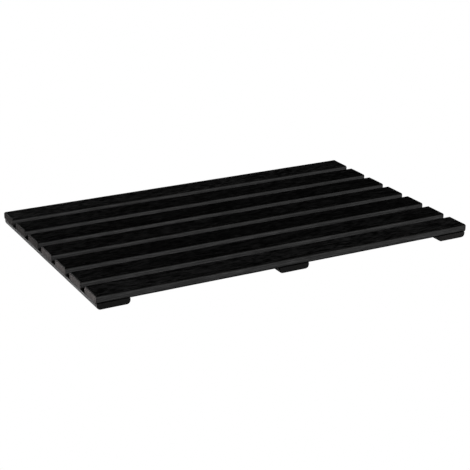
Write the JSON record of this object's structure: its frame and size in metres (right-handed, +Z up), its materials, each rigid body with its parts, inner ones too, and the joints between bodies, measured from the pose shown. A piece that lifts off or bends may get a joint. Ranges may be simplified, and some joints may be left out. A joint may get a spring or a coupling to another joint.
{
  "type": "slatted wooden door mat",
  "caption": "Rigid slatted duckboard mat in black stained wood: lengthwise slats screwed from below to cross battens that stand on rubber pads.",
  "frame": {"origin": "on the floor, under the centre of the mat's outline", "axes": "+X along the slats to the right, +Y across them from front to back, +Z up out of the walking face"},
  "size_m": [0.804, 0.496, 0.029],
  "materials": {
    "slat_wood": "black stain, satin, fine lengthwise grain",
    "batten_wood": "black stain, satin, fine grain along the batten",
    "screw_steel": "bright zinc plate",
    "pad_rubber": "matt black"
  },
  "bodies": {
    "root": {"slat_1": "slat_wood", "slat_2": "slat_wood", "slat_3": "slat_wood", "slat_4": "slat_wood", "slat_5": "slat_wood", "slat_6": "slat_wood", "slat_7": "slat_wood", "batten_left": "batten_wood", "batten_middle": "batten_wood", "batten_right": "batten_wood", "screws_left": "screw_steel", "screws_middle": "screw_steel", "screws_right": "screw_steel", "pad_left_front": "pad_rubber", "pad_left_middle": "pad_rubber", "pad_left_back": "pad_rubber", "pad_middle_front": "pad_rubber", "pad_middle_middle": "pad_rubber", "pad_middle_back": "pad_rubber", "pad_right_front": "pad_rubber", "pad_right_middle": "pad_rubber", "pad_right_back": "pad_rubber"}
  },
  "joints": []
}
